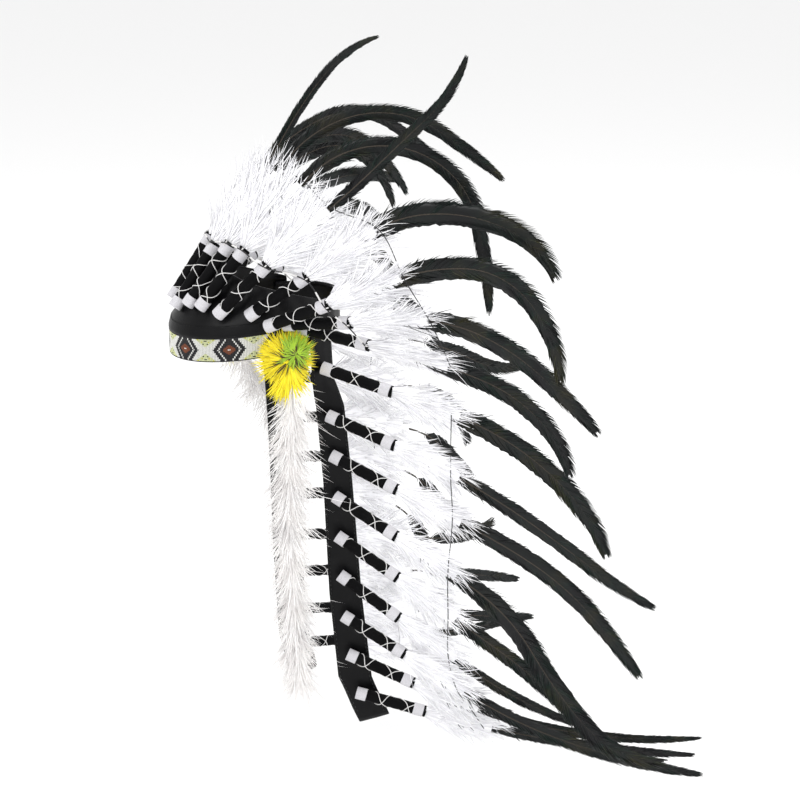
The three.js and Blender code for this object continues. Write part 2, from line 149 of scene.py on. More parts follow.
TRAIL_LEFT = (
    (-22, 43, (-14, -16, -31, -46, -70), 295, 26),
    (-76, 45, (-18, -24, -30, -33, -22), 324, 20),
    (-122, 42, (-23, -22, -30, -47, -54), 334, 24),
    (-170, 44, (-28, -30, -58, -46, 10), 390, 28),
    (-217, 41, (-31, -33, -32, -40, -48), 262, 20),
    (-264, 38, (-34, -34, -30, -22, -14), 236, 14),
    (-314, 41, (-28, -28, -16, -8, 0), 355, 18),
    (-362, 34, (-22, -16, -8, 1, 9), 330, 13),
    (-412, 29, (-15, -12, -8, -5, 0), 310, 14),
)
TRAIL_RIGHT = (
    (-30, 10, (-10, -8, -22, -30, 0), 300, 20),
    (-76, 12, (-12, -16, -18, -44, -80), 262, 20),
    (-124, 9, (-12, -18, -24, -50, -48), 244, 20),
    (-174, 12, (-12, -22, -30, -56, -80), 236, 20),
    (-222, 17, (-12, -22, -34, -60, -80), 226, 20),
    (-272, 9, (-12, -16, -16, -8, 26), 240, 18),
    (-320, 12, (-12, -16, -17, -18, -20), 300, 16),
    (-368, 8, (-12, -18, -18, -16, -12), 300, 16),
    (-414, 12, (-12, -14, -10, -6, 0), 290, 14),
)

# A quarter of one diamond of the woven band, from its middle row to the edging and from the
# diamond's centre to halfway to the next: d dot, r rust, k black, w white, g pale green, y yellow
BAND_CHART = (
    "drrrkkkwkkkwwwww",
    "rrrrkkwkkkwwwwww",
    "rrrkkkwkkkwwwwww",
    "rrkkkwkkkwwwwwww",
    "rkkkkwkkkwwwwwwg",
    "kkkkwkkkwwwwwwgg",
    "kkkkwkkkwwwwwgkg",
    "kkkwkkkwwwwwgggg",
    "kkkwkkkwwwwggygg",
    "kkwkkkwwwwgggggk",
    "kkwkkkwwwgyggggg",
    "kkkkkkkkkkkkkkkk",
)
BAND_COLOURS = {"k": 0, "w": 1, "r": 2, "g": 3, "y": 4, "d": 1}
BAND_PERIOD = 53
BAND_RELIEF = 0.45
WOVEN_HEIGHT = 26

# How far past its wrap a feather's dark plume shows, and how long the far trail's white plumes are
COQUE_BARE = 58
FAR_COQUE_BARE = 146
FAR_TRAIL_FLUFF = 1.15
COQUE_SPACING = 2.0
WHITE_LENGTH = 118

# Where the cord and the threads lie along a feather, from its seat
CORD_PLACE = 79
THREAD_PLACES = {"crown": 176, "trail": 150}

# How many barbs make each layer of a white plume, and each drop
NEAR_BARBS = 240
FAR_BARBS = 150
NEAR_DROP_BARBS = 3800
FAR_DROP_BARBS = 1500

# The materials of a feather, by number
WRAP_FINISH, TRIM_FINISH, THREAD_FINISH, WHITE_FINISH, COQUE_FINISH, QUILL_FINISH = range(6)

# The picture: its side in pixels, a pixel's size at the target in millimetres, and in metres the
# camera's distance and the floor's height
PICTURE = 800
PIXEL = 1.09
CAMERA_DISTANCE = 2.2
SENSOR = 36
FLOOR_SIZE = 30
FLOOR_HEIGHT = -0.52


# Vector helpers: every function takes and returns arrays of points or directions

def unit(vectors):
    return vectors / np.linalg.norm(vectors, axis=-1, keepdims=True)


def point(x, y, z):
    return np.array((x, y, z), float)


def turned(vector, axis, degrees):
    """A direction turned about an axis."""
    angle = math.radians(degrees)
    along = np.dot(vector, axis) * axis
    return along + (vector - along) * math.cos(angle) + np.cross(axis, vector) * math.sin(angle)


def smooth(low, high, value):
    part = np.clip((value - low) / (high - low), 0, 1)
    return part * part * (3 - 2 * part)


# Layout, the same as the CAD source's

def ring_point(around, height, inset):
    turn = math.radians(around)
    return point((HEAD_WIDTH - inset) * math.sin(turn), -(HEAD_DEPTH - inset) * math.cos(turn),
                 height - TILT * HEAD_DEPTH * math.cos(turn))


def ring_outward(around):
    turn = math.radians(around)
    return unit(point(math.sin(turn) / HEAD_WIDTH, -math.cos(turn) / HEAD_DEPTH, 0))


def read_table(table, key, value):
    keys = np.array(table[key], float)
    order = np.argsort(keys)
    return {name: float(np.interp(value, keys[order], np.array(column, float)[order]))
            for name, column in table.items()}


def crown_profile(around):
    """Heights and leans of the crown strip's knee, middle and edge."""
    edge = read_table(CROWN_EDGE, "around", abs(around))
    knee = min(BAND_HEIGHT, edge["height"] - 4)
    middle = (knee + edge["height"]) / 2
    return (knee, middle, edge["height"]), (0, edge["lean"] * MIDDLE_LEAN, edge["lean"])


def wrap_direction(heading, slope):
    heading, slope = math.radians(heading), math.radians(slope)
    return point(math.sin(heading) * math.cos(slope), math.cos(heading) * math.cos(slope),
                 math.sin(slope))


def seat_on(place, normal, row):
    facing = float(np.dot(wrap_direction(row["heading"], row["slopes"][0]), normal))
    return place + normal * (SEAT_CLEAR + WRAP_RING * math.sqrt(1 - facing ** 2))


def crown_seat(row):
    outward = ring_outward(row["around"])
    lowest = row["height"] - WRAP_RING * math.cos(math.radians(row["slopes"][0]))
    if lowest < BAND_HEIGHT:
        return seat_on(ring_point(row["around"], row["height"], 0), outward, row)
    heights, leans = crown_profile(row["around"])
    slope = leans[1] / (heights[1] - heights[0])
    lean = float(np.interp(row["height"], heights, leans))
    normal = unit(outward + point(0, 0, slope))
    return seat_on(ring_point(row["around"], row["height"], BAND_THICK + GAP + lean), normal, row)


def trail_frame(height, hang):
    row = read_table(TRAIL_ROUTE, "height", height)
    turn = math.radians(row["turn"] * hang["flare"] if row["turn"] > 0 else row["turn"])
    top = TRAIL_ROUTE["back"][0]
    back = top + (row["back"] - top) * hang["sweep"]
    along = point(math.sin(turn), math.cos(turn), 0)
    outward = point(along[1], -along[0], 0)
    return point(row["out"], back, height), along, outward, row["width"]


class Route:
    """Where a feather runs: straight along its wrap, then drooping in its own upright plane."""

    def __init__(self, seat, row):
        heading = math.radians(row["heading"])
        self.level = point(math.sin(heading), math.cos(heading), 0)
        self.total = WRAP_LENGTH + row["plume"]
        self.steps = np.linspace(0, self.total, 241)
        reach = np.maximum(0, (self.steps[:-1] + self.steps[1:]) / 2 - WRAP_LENGTH) / row["plume"]
        slopes = np.radians(np.interp(reach, np.linspace(0, 1, 5), row["slopes"]))
        forward = np.cos(slopes)[:, None] * self.level + np.sin(slopes)[:, None] * point(0, 0, 1)
        moves = forward * (self.total / 240)
        self.points = np.vstack([seat, seat + np.cumsum(moves, axis=0)])
        self.slopes = np.append(slopes, slopes[-1])

    def at(self, distance):
        distance = np.asarray(distance, float)
        place = np.stack([np.interp(distance, self.steps, self.points[:, axis])
                          for axis in range(3)], axis=-1)
        slope = np.interp(distance, self.steps, self.slopes)[..., None]
        direction = np.cos(slope) * self.level + np.sin(slope) * point(0, 0, 1)
        upward = -np.sin(slope) * self.level + np.cos(slope) * point(0, 0, 1)
        return place, direction, upward


# Mesh making: a Form gathers closed bodies, each with a material number and a tone

class Form:
    def __init__(self):
        self.points, self.faces, self.finish, self.tones = [], [], [], []
        self.count = 0

    def add(self, points, faces, finish=0, tone=0.5):
        """Adds bodies: faces is an array of rows of three or four corner numbers."""
        points = np.asarray(points, float).reshape(-1, 3)
        self.points.append(points)
        self.faces += (np.asarray(faces) + self.count).tolist()
        self.finish += [finish] * len(faces)
        self.tones.append(np.broadcast_to(tone, len(points)))
        self.count += len(points)

    def piece(self, name, materials, slot, *nodes):
        """Turns the bodies into one piece of the scene that stands for some CAD nodes."""
        mesh = bpy.data.meshes.new(name)
        mesh.from_pydata((np.vstack(self.points) * 0.001).tolist(), [], self.faces)
        mesh.polygons.foreach_set("material_index", self.finish)
        tones = mesh.attributes.new("tone", "FLOAT", "POINT")
        tones.data.foreach_set("value", np.concatenate(self.tones).astype(np.float32))
        mesh.shade_smooth()
        for material in materials:
            mesh.materials.append(material)
        piece = bpy.data.objects.new(name, mesh)
        bpy.context.scene.collection.objects.link(piece)
        if nodes:
            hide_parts(*nodes)
        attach(piece, "root")
        return piece

    def mirror(self):
        """The same bodies on the wearer's other side."""
        self.points = [points * (-1, 1, 1) for points in self.points]
        self.faces = [face[::-1] for face in self.faces]
        return self


def ring_faces(rings, sides):
    """Faces of a closed tube: rings of points in order, with flat ends."""
    ring, side = np.meshgrid(np.arange(rings - 1), np.arange(sides), indexing="ij")
    here = ring * sides + side
    after = ring * sides + (side + 1) % sides
    walls = np.stack([here, after, after + sides, here + sides], axis=-1).reshape(-1, 4).tolist()
    last = (rings - 1) * sides
    ends = [list(range(sides))[::-1], list(range(last, last + sides))]
    return walls + ends


def tube(form, path, radius, sides, finish=0, tone=0.5, flat=1.0, up=None):
    """A round or flattened tube along a path, with a radius at each point."""
    path = np.asarray(path, float)
    radius = np.broadcast_to(radius, len(path))
    direction = unit(np.gradient(path, axis=0))
    up = point(0, 0, 1) if up is None else up
    side = unit(np.cross(direction, up))
    above = np.cross(side, direction)
    turns = np.arange(sides) / sides * 2 * math.pi
    rings = (path[:, None, :] + radius[:, None, None]
             * (np.cos(turns)[None, :, None] * side[:, None, :]
                + flat * np.sin(turns)[None, :, None] * above[:, None, :]))
    base = form.count
    form.points.append(rings.reshape(-1, 3))
    form.faces += [[corner + base for corner in face] for face in ring_faces(len(path), sides)]
    form.finish += [finish] * ((len(path) - 1) * sides + 2)
    form.tones.append(np.repeat(np.broadcast_to(tone, len(path)), sides))
    form.count += len(path) * sides


BARB_STOPS = np.array((0.0, 0.3, 0.6, 0.85))
BARB_WIDTHS = np.array((0.7, 1.0, 0.8, 0.45))
BARB_POINTS = 13


def barbs(form, roots, directions, bends, lengths, widths, normals, finish=0, tone=0.5, thick=0.35):
    """Thin tapered barbs, each a closed three-sided body that curves from its root to a point."""
    count = len(roots)
    lengths = np.broadcast_to(lengths, count)[:, None]
    widths = np.broadcast_to(widths, count)[:, None]
    stops = np.append(BARB_STOPS, 1.0)
    spine = (roots[:, None, :] + directions[:, None, :] * (lengths * stops)[:, :, None]
             + bends[:, None, :] * (lengths * stops ** 2)[:, :, None])
    normals = unit(normals - directions * np.sum(normals * directions, axis=1, keepdims=True))
    side = np.cross(directions, normals)
    spread = (widths * BARB_WIDTHS)[:, :, None]
    body = spine[:, :4, None, :] + np.stack([
        -0.5 * spread * side[:, None, :] - 0.5 * thick * spread * normals[:, None, :],
        0.5 * spread * side[:, None, :] - 0.5 * thick * spread * normals[:, None, :],
        thick * spread * normals[:, None, :],
    ], axis=2)
    points = np.concatenate([body.reshape(count, 12, 3), spine[:, 4:, :]], axis=1)
    pattern = [[0, 2, 1]]
    for ring in range(3):
        for edge in range(3):
            a, b = ring * 3 + edge, ring * 3 + (edge + 1) % 3
            pattern += [[a, b, b + 3], [a, b + 3, a + 3]]
    pattern += [[9 + edge, 9 + (edge + 1) % 3, 12] for edge in range(3)]
    faces = (np.array(pattern)[None] + (np.arange(count) * BARB_POINTS)[:, None, None]).reshape(-1, 3)
    tones = np.repeat(np.broadcast_to(tone, count), BARB_POINTS)
    form.add(points, faces, finish, tones)


def shell(form, outer, inner, finish=0, tone=0.5):
    """A closed sheet between two grids of points of the same size."""
    rows, columns = outer.shape[:2]
    row, column = np.meshgrid(np.arange(rows - 1), np.arange(columns - 1), indexing="ij")
    a = (row * columns + column).ravel()
    front = np.stack([a, a + columns, a + columns + 1, a + 1], axis=1)
    size = rows * columns
    back = front[:, ::-1] + size
    rim = ([r * columns for r in range(rows)] + [size - columns + c for c in range(1, columns)]
           + [r * columns + columns - 1 for r in range(rows - 2, -1, -1)]
           + list(range(columns - 2, 0, -1)))
    after = rim[1:] + rim[:1]
    edge = np.array([[b, a, a + size, b + size] for a, b in zip(rim, after)])
    form.add(np.concatenate([outer.reshape(-1, 3), inner.reshape(-1, 3)]),
             np.concatenate([front, back, edge]), finish, tone)


# Materials, each made of nodes alone

def nodes_of(name, colour, roughness, specular=0.5, sheen=0.0):
    material = bpy.data.materials.new(name)
    material.use_nodes = True
    shader = material.node_tree.nodes["Principled BSDF"]
    shader.inputs["Base Color"].default_value = (*colour, 1)
    shader.inputs["Roughness"].default_value = roughness
    shader.inputs["Specular IOR Level"].default_value = specular
    shader.inputs["Sheen Weight"].default_value = sheen
    return material, material.node_tree, shader


def add_node(tree, kind, **settings):
    node = tree.nodes.new(kind)
    for name, value in settings.items():
        if name in node.inputs:
            node.inputs[name].default_value = value
        else:
            setattr(node, name, value)
    return node


def noise(tree, scale, detail=3.0, stretch=(1, 1, 1)):
    """Noise in object coordinates, in cycles per metre."""
    place = tree.nodes.new("ShaderNodeTexCoord")
    mapping = tree.nodes.new("ShaderNodeMapping")
    mapping.inputs["Scale"].default_value = stretch
    node = add_node(tree, "ShaderNodeTexNoise", Scale=scale, Detail=detail)
    tree.links.new(place.outputs["Object"], mapping.inputs["Vector"])
    tree.links.new(mapping.outputs["Vector"], node.inputs["Vector"])
    return node.outputs["Fac"]


def ramp(tree, source, stops):
    """Colours along a value: stops are (place, colour)."""
    node = tree.nodes.new("ShaderNodeValToRGB")
    elements = node.color_ramp.elements
    while len(elements) < len(stops):
        elements.new(0.5)
    for element, (place, colour) in zip(elements, stops):
        element.position = place
        element.color = (*colour, 1)
    tree.links.new(source, node.inputs["Fac"])
    return node.outputs["Color"]


def bump(tree, shader, source, strength, distance):
    node = add_node(tree, "ShaderNodeBump", Strength=strength, Distance=distance)
    tree.links.new(source, node.inputs["Height"])
    tree.links.new(node.outputs["Normal"], shader.inputs["Normal"])


def toned(tree):
    """The tone stored with each point of a mesh, which the feather materials turn into painted shade and
    painted sheen.
    """
    return add_node(tree, "ShaderNodeAttribute", attribute_name="tone").outputs["Fac"]


def mixed(tree, source, first, second):
    """A colour between two, by a value."""
    node = tree.nodes.new("ShaderNodeMix")
    node.data_type = "RGBA"
    tree.links.new(source, node.inputs["Factor"])
    for socket, colour in ((node.inputs[6], first), (node.inputs[7], second)):
        if isinstance(colour, tuple):
            socket.default_value = (*colour, 1)
        else:
            tree.links.new(colour, socket)
    return node.outputs[2]


def leather_material(name, dark, light, roughness, specular=0.4):
    material, tree, shader = nodes_of(name, dark, roughness, specular)
    tree.links.new(ramp(tree, noise(tree, 60, 4), ((0.35, dark), (0.75, light))),
                   shader.inputs["Base Color"])
    grain = add_node(tree, "ShaderNodeTexVoronoi", Scale=900.0)
    place = tree.nodes.new("ShaderNodeTexCoord")
    tree.links.new(place.outputs["Object"], grain.inputs["Vector"])
    bump(tree, shader, grain.outputs["Distance"], 0.25, 0.0003)
    return material


def plume_material(name, shade, light, roughness, sheen, glow=0.0):
    """Barbs that go from painted shade to the lit colour by their tone, under soft patches of painted
    shade. The glow stands for the light that soft barbs pass on to each other."""
    material, tree, shader = nodes_of(name, light, roughness, 0.3, sheen)
    shader.inputs["Emission Color"].default_value = (*light, 1)
    shader.inputs["Emission Strength"].default_value = glow
    # Painted shade: low tone and soft grey noise patches darken the plume's colour.
    toned_colour = ramp(tree, toned(tree), ((0.0, shade), (1.0, light)))
    painted_shade_patch = ramp(tree, noise(tree, 35, 2), ((0.3, (0.86, 0.86, 0.87)), (0.6, (1, 1, 1))))
    node = tree.nodes.new("ShaderNodeMix")
    node.data_type = "RGBA"
    node.blend_type = "MULTIPLY"
    node.inputs["Factor"].default_value = 1
    tree.links.new(toned_colour, node.inputs[6])
    tree.links.new(painted_shade_patch, node.inputs[7])
    tree.links.new(node.outputs[2], shader.inputs["Base Color"])
    bump(tree, shader, noise(tree, 900, 3), 0.2, 0.0004)
    return material


def coque_material(name):
    """Dark glossy barbs with an olive tinge and painted sheen: the green and olive colours stand partly
    for the feathers' own tinge and partly for their iridescent highlights.
    """
    material, tree, shader = nodes_of(name, (0.004, 0.005, 0.004), 0.3, 0.26)
    # Painted sheen: noise spreads green and olive highlights over the barbs, on top of their own olive
    # tinge. Low tone keeps a barb near black, high tone gives it this colour.
    tinge_and_painted_sheen = ramp(tree, noise(tree, 28, 3), ((0.38, (0.002, 0.003, 0.004)), (0.52, (0.006, 0.016, 0.012)),
                                           (0.68, (0.034, 0.032, 0.014))))
    tree.links.new(mixed(tree, toned(tree), (0.002, 0.002, 0.0025), tinge_and_painted_sheen), shader.inputs["Base Color"])
    bump(tree, shader, noise(tree, 1200, 2), 0.3, 0.0003)
    return material


def thread_material(name, colour, scale):
    material, tree, shader = nodes_of(name, colour, 0.75, 0.3, 0.1)
    low = tuple(value * 0.72 for value in colour)
    tree.links.new(ramp(tree, noise(tree, scale, 2), ((0.3, low), (0.7, colour))),
                   shader.inputs["Base Color"])
    bump(tree, shader, noise(tree, scale, 2), 0.5, 0.0004)
    return material


LEATHER_BLACK = leather_material("black_leather", (0.0015, 0.0015, 0.002),
                                 (0.004, 0.004, 0.0045), 0.36, 0.14)
FELT_BLACK = leather_material("wrap_black", (0.0012, 0.0012, 0.0015), (0.003, 0.003, 0.0035), 0.7, 0.08)
TRIM_WHITE = thread_material("white_trim", (0.66, 0.65, 0.68), 1400)
THREAD_WHITE = thread_material("white_thread", (0.78, 0.77, 0.76), 1800)
THREAD_BLACK = thread_material("black_thread", (0.012, 0.012, 0.013), 1800)
PLUME_WHITE = plume_material("white_plume", (0.76, 0.75, 0.79), (0.94, 0.94, 0.95), 0.9, 0.1, 0.14)
DROP_WHITE = plume_material("white_drop", (0.76, 0.73, 0.72), (0.94, 0.93, 0.92), 0.9, 0.1, 0.14)
PLUME_YELLOW = plume_material("yellow_plume", (0.72, 0.55, 0.01), (0.95, 0.83, 0.03), 0.8, 0.1, 0.14)
PLUME_GREEN = plume_material("green_plume", (0.22, 0.42, 0.03), (0.46, 0.66, 0.05), 0.8, 0.1, 0.1)
PLUME_BROWN = plume_material("brown_plume", (0.03, 0.02, 0.01), (0.20, 0.13, 0.03), 0.8, 0.1)
COQUE = coque_material("dark_plume")
QUILL = thread_material("quill", (0.05, 0.04, 0.03), 600)
BAND_MATERIALS = (
    thread_material("band_black", (0.012, 0.012, 0.014), 1200),
    thread_material("band_white", (0.80, 0.80, 0.76), 1200),
    thread_material("band_rust", (0.20, 0.055, 0.02), 1200),
    thread_material("band_green", (0.70, 0.74, 0.42), 1200),
    thread_material("band_yellow", (0.62, 0.56, 0.06), 1200),
    leather_material("band_back", (0.02, 0.02, 0.022), (0.03, 0.03, 0.033), 0.7),
    LEATHER_BLACK,
)


# The woven band

def arc_places(end, inset, count=2001):
    """Angles round the head against arc length from the front, along the band's outer face."""
    around = np.linspace(-end, end, count)
    line = np.array([ring_point(angle, 0, inset) for angle in around])
    length = np.append(0, np.cumsum(np.linalg.norm(np.diff(line, axis=0), axis=1)))
    return around, length - length[count // 2]


def browband():
    """The woven strip, with the crown's leather rolled over its upper edge."""
    form = Form()
    around, length = arc_places(BAND_END, 0)
    rows = 2 * len(BAND_CHART) - 1
    quarter = len(BAND_CHART[0])
    cell = BAND_PERIOD / (2 * quarter)
    columns = int((length[-1] - length[0]) / cell)
    edges = np.interp(np.linspace(-columns / 2, columns / 2, columns + 1) * cell, length, around)
    edges[0], edges[-1] = -BAND_END, BAND_END
    heights = np.linspace(0, WOVEN_HEIGHT, rows + 1)
    outer = np.array([[ring_point(a, z, BAND_RELIEF) for a in edges] for z in heights])
    inner = np.array([[ring_point(a, z, BAND_THICK) for a in edges] for z in heights])
    shell(form, outer, inner, 5)
    for row in range(rows):
        line = BAND_CHART[abs(row - rows // 2)]
        for column in range(columns):
            offset = (column - columns // 2) % (2 * quarter)
            mark = line[quarter - 1 - offset if offset < quarter else offset - quarter]
            corners = [outer[row, column], outer[row, column + 1],
                       outer[row + 1, column + 1], outer[row + 1, column]]
            middle = sum(corners) / 4
            out = ring_outward((edges[column] + edges[column + 1]) / 2)
            top = [middle + (corner - middle) * 0.72 + out * BAND_RELIEF for corner in corners]
            low = [middle + (corner - middle) * 0.97 - out * 0.1 for corner in corners]
            form.add(low + top, [[3, 2, 1, 0], [4, 5, 6, 7], [0, 1, 5, 4], [1, 2, 6, 5],
                                 [2, 3, 7, 6], [3, 0, 4, 7]], BAND_COLOURS[mark])
    roll = [(WOVEN_HEIGHT - 0.8 + part * (BAND_HEIGHT - WOVEN_HEIGHT + 0.8),
             float(np.interp(part, (0, 0.06, 0.16, 0.3, 0.6, 1), (0.9, 0.1, -0.25, -0.1, 0.9, 2.35))))
            for part in np.linspace(0, 1, 17)]
    angles = np.linspace(-BAND_END, BAND_END, 141)
    ripple = {a: 0.35 * math.sin(math.radians(a * 17)) + 0.25 * math.sin(math.radians(a * 41))
              for a in angles}
    outer = np.array([[ring_point(a, z + ripple[a] * 0.5, min(2.4, inset + 0.2 * ripple[a]))
                       for a in angles] for z, inset in roll])
    inner = np.array([[ring_point(a, z, BAND_THICK) for a in angles] for z, inset in roll])
    shell(form, outer, inner, 6)
    form.piece("woven_band", BAND_MATERIALS, "woven_band", "browband")


# The leather crown, strap and trails

def crown_wall(around, part, outer, wave):
    """A point of the crown strip's wall, from its lower edge (0) to its loose upper edge (1)."""
    heights, leans = crown_profile(around)
    length = np.append(0, np.cumsum(np.hypot(np.diff((LOWER_EDGE, *heights)), np.diff((0, *leans)))))
    at = part * length[-1]
    height = float(np.interp(at, length, (LOWER_EDGE, *heights)))
    lean = float(np.interp(at, length, (0, *leans)))
    return ring_point(around, height, outer + lean + wave)


def crown_strip():
    form = Form()
    angles = np.linspace(-CROWN_END, CROWN_END, 161)
    parts = np.linspace(0, 1, 25)
    base = BAND_THICK + GAP
    outer, inner = [], []
    for part in parts:
        row_out, row_in = [], []
        for angle in angles:
            free = smooth(0.3, 0.75, part)
            wave = free * (0.9 * math.sin(math.radians(angle * 9)) * part
                           + 0.6 * math.sin(math.radians(angle * 23 + part * 260)))
            crease = 1.6 * free * math.exp(-((angle - 38 - 26 * part) / 4.5) ** 2)
            wave += crease
            row_out.append(crown_wall(angle, part, base, wave + 0.4 * free))
            row_in.append(crown_wall(angle, part, base + LEATHER - 0.4, wave))
        outer.append(row_out)
        inner.append(row_in)
    shell(form, np.array(outer), np.array(inner), 0)
    form.piece("crown_leather", (LEATHER_BLACK,), "black_leather", "crown_strip")


def back_strap():
    form = Form()
    inset = BAND_THICK + LEATHER + 2 * GAP
    angles = np.linspace(STRAP_START, 360 - STRAP_START, 61)
    parts = np.linspace(0, 1, 7)
    heights = LOWER_EDGE + parts * (STRAP_HEIGHT - LOWER_EDGE)
    outer = np.array([[ring_point(a, z, inset + 0.2 + 0.4 * math.sin(math.radians(a * 13)) ** 2)
                       for a in angles] for z in heights])
    inner = np.array([[ring_point(a, z, inset + LEATHER) for a in angles] for z in heights])
    shell(form, outer, inner, 0)
    for part in (0.1, 0.9):
        for angle in np.arange(STRAP_START + 3, 360 - STRAP_START - 3, 3.4):
            ends = [ring_point(angle + step, LOWER_EDGE + part * (STRAP_HEIGHT - LOWER_EDGE), inset)
                    for step in (0, 0.9, 1.8)]
            tube(form, ends, 0.35, 5, 1)
    form.piece("back_strap_leather", (LEATHER_BLACK, THREAD_BLACK), "black_leather", "back_strap")


def trail_strip(hang):
    form = Form()
    top, bottom = TRAIL_ROUTE["height"][0], TRAIL_ROUTE["height"][-1]
    heights = np.linspace(top, bottom, 95)
    sides = np.linspace(-1, 1, 13)
    outer, inner = [], []
    for index, height in enumerate(heights):
        centre, along, outward, width = trail_frame(height, hang)
        end = smooth(0.9, 1.0, index / (len(heights) - 1))
        row_out, row_in = [], []
        for side in sides:
            wave = 0.5 * math.sin(height / 17 + side * 1.4) * side ** 2
            wave += 0.5 * math.exp(-((side - 0.25 - 0.1 * math.sin(height / 60)) / 0.16) ** 2)
            place = centre + along * side * width / 2 + point(0, 0, side * TRAIL_SLANT * end)
            edge = 1 - 0.55 * abs(side) ** 6
            row_out.append(place + outward * (edge * TRAIL_THICK / 2 + wave * 0.6 - 0.3))
            row_in.append(place - outward * (edge * TRAIL_THICK / 2 - wave * 0.4))
        outer.append(row_out)
        inner.append(row_in)
    shell(form, np.array(outer), np.array(inner), 0)
    for side in (-0.86, 0.86):
        for height in np.arange(bottom + 10, top - 4, 5.2):
            line = []
            for step in (0, 1.2, 2.4):
                centre, along, outward, width = trail_frame(height + step, hang)
                line.append(centre + along * side * width / 2 + outward * (TRAIL_THICK / 2 - 0.25))
            tube(form, line, 0.35, 5, 1)
    return form


# Feathers

def wrap(form, route, seat_normal):
    """The leather round the quill, with a ribbed white trim at each end and crossed thread."""
    _, direction, _ = route.at(0)
    inward = unit(direction * np.dot(direction, seat_normal) - seat_normal)
    across = np.cross(direction, inward)
    sides = 18
    turns = np.arange(sides) / sides * 2 * math.pi
    spokes = np.cos(turns)[:, None] * inward + np.sin(turns)[:, None] * across

    def lathe(profile, finish):
        rings = np.array([[route.at(at)[0] + spoke * radius for spoke in spokes]
                          for at, radius in profile])
        form.add(rings, np.array(ring_faces(len(profile), sides)[:-2]), finish)
        for ring, turn in ((0, -1), (len(profile) - 1, 1)):
            corners = list(range(sides))[::turn]
            base = form.count
            form.points.append(rings[ring])
            form.faces.append([base + corner for corner in corners])
            form.finish.append(finish)
            form.tones.append(np.full(sides, 0.5))
            form.count += sides

    stretch = np.linspace(RING_LENGTH - 1, WRAP_LENGTH, 15)
    lathe([(at, WRAP_RADIUS - 0.3 + 0.18 * math.sin(at * 0.7)) for at in stretch[:-1]]
          + [(WRAP_LENGTH - 0.6, WRAP_RADIUS), (WRAP_LENGTH, WRAP_RADIUS - 1.2)], WRAP_FINISH)
    for start in (0, WRAP_LENGTH - BLACK_END - RING_LENGTH):
        ribs = [(start + 0.01, WRAP_RADIUS - 0.8)]
        for rib in range(9):
            at = start + rib * RING_LENGTH / 9
            ribs += [(at + 0.15, WRAP_RING - 0.28), (at + RING_LENGTH / 18, WRAP_RING)]
        ribs += [(start + RING_LENGTH - 0.01, WRAP_RADIUS - 0.8)]
        lathe(ribs, TRIM_FINISH)
    first, last = RING_LENGTH - 1, WRAP_LENGTH - BLACK_END - RING_LENGTH + 1
    phase = RANDOM.uniform(0, 2 * math.pi)
    for hand in (-1, 1):
        places = np.linspace(first, last, 44)
        turn = phase * hand + hand * (places - first) / (last - first) * 2 * math.pi * 1.9
        wobble = 0.35 * np.sin(places * 0.31 + phase)
        line = np.array([route.at(at)[0] + (math.cos(t + w) * inward + math.sin(t + w) * across)
                         * (WRAP_RADIUS + 0.15) for at, t, w in zip(places, turn, wobble)])
        tube(form, line, 0.48, 5, THREAD_FINISH, up=direction)


